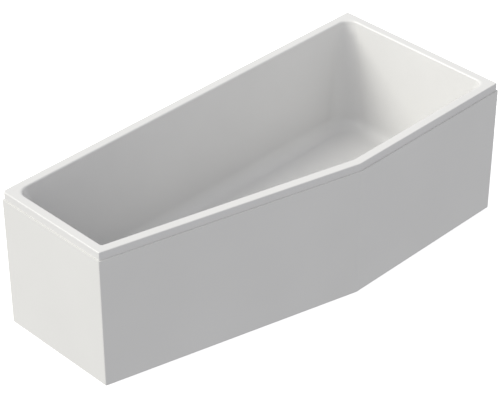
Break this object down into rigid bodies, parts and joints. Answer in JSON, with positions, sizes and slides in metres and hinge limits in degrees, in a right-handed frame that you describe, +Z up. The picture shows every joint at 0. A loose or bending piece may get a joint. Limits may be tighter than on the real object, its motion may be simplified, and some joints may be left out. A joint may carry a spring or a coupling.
{
  "type": "bathtub",
  "caption": "Five-sided space-saver bathtub with a slanted front, removable panels, screw feet, pop-up waste and turning overflow knob.",
  "frame": {"origin": "on the floor of the room, under the middle of the bath's plan", "axes": "+X along the bath towards its wide end, +Y towards the wall behind it, +Z up"},
  "size_m": [1.608, 0.696, 0.519],
  "materials": {
    "sanitary_acrylic": "cast acrylic sheet, satin gloss, white",
    "panel_acrylic": "formed acrylic sheet, satin, white",
    "chipboard": "pressed board sealed with resin",
    "timber": "sawn softwood",
    "zinc_steel": "pressed steel, zinc plated",
    "chrome": "chrome plated, polished",
    "white_plastic": "injection moulded, white",
    "black_plastic": "injection moulded, black",
    "rubber": "moulded rubber"
  },
  "bodies": {
    "bath": {"bath_shell": "sanitary_acrylic", "end_panel_narrow": "panel_acrylic", "end_panel_wide": "panel_acrylic", "baseboard": "chipboard", "rim_batten_slant": "timber", "rim_batten_front": "timber", "rim_batten_wide": "timber", "rim_batten_back": "timber", "rim_batten_narrow": "timber", "panel_clip_1": "white_plastic", "panel_clip_2": "white_plastic", "panel_clip_3": "white_plastic", "panel_clip_4": "white_plastic", "panel_clip_5": "white_plastic", "panel_clip_6": "white_plastic", "wall_bracket_1": "zinc_steel", "wall_bracket_2": "zinc_steel", "bracket_screw_1": "zinc_steel", "bracket_screw_2": "zinc_steel", "leg_rail_narrow": "zinc_steel", "leg_rail_wide": "zinc_steel", "rail_screw_1": "zinc_steel", "rail_screw_2": "zinc_steel", "rail_screw_3": "zinc_steel", "rail_screw_4": "zinc_steel", "foot_nut_1": "zinc_steel", "foot_nut_2": "zinc_steel", "foot_nut_3": "zinc_steel", "foot_nut_4": "zinc_steel", "foot_nut_5": "zinc_steel", "centre_foot_plate": "zinc_steel", "waste_flange": "chrome", "waste_seal": "rubber", "waste_body": "black_plastic", "trap_nut": "black_plastic", "trap_body": "black_plastic", "trap_outlet": "white_plastic", "overflow_plate": "chrome", "overflow_seal": "rubber", "overflow_body": "black_plastic", "overflow_pipe": "white_plastic", "bowden_cable": "black_plastic"},
    "front_panel": {"front_panel": "panel_acrylic"},
    "foot_1": {"foot_pad_1": "black_plastic", "foot_rod_1": "zinc_steel"},
    "foot_2": {"foot_pad_2": "black_plastic", "foot_rod_2": "zinc_steel"},
    "foot_3": {"foot_pad_3": "black_plastic", "foot_rod_3": "zinc_steel"},
    "foot_4": {"foot_pad_4": "black_plastic", "foot_rod_4": "zinc_steel"},
    "foot_5": {"foot_pad_5": "black_plastic", "foot_rod_5": "zinc_steel"},
    "knob": {"overflow_knob": "chrome"},
    "plug": {"waste_plug": "chrome", "plug_stem": "chrome", "plug_seal": "rubber"}
  },
  "joints": [
    {"name": "front_panel_pull", "type": "slide", "parent": "bath", "child": "front_panel", "axis": [0, -1, 0], "range_m": [0, 0.15]},
    {"name": "foot_1_screw", "type": "slide", "parent": "bath", "child": "foot_1", "axis": [0, 0, 1], "range_m": [-0.02, 0.006]},
    {"name": "foot_2_screw", "type": "slide", "parent": "bath", "child": "foot_2", "axis": [0, 0, 1], "range_m": [-0.02, 0.006]},
    {"name": "foot_3_screw", "type": "slide", "parent": "bath", "child": "foot_3", "axis": [0, 0, 1], "range_m": [-0.02, 0.006]},
    {"name": "foot_4_screw", "type": "slide", "parent": "bath", "child": "foot_4", "axis": [0, 0, 1], "range_m": [-0.02, 0.006]},
    {"name": "foot_5_screw", "type": "slide", "parent": "bath", "child": "foot_5", "axis": [0, 0, 1], "range_m": [-0.02, 0.006]},
    {"name": "knob_turn", "type": "hinge", "parent": "bath", "child": "knob", "pos_m": [-0.75724, 0.1, 0.43817], "axis": [0.9921, 0, 0.1251], "range_deg": [0, 90]},
    {"name": "plug_lift", "type": "slide", "parent": "bath", "child": "plug", "axis": [0, 0, 1], "range_m": [0, 0.01]}
  ],
  "couplings": [
    {"joint": "plug_lift", "follows": "knob_turn", "m_per_rad": 0.00636}
  ]
}
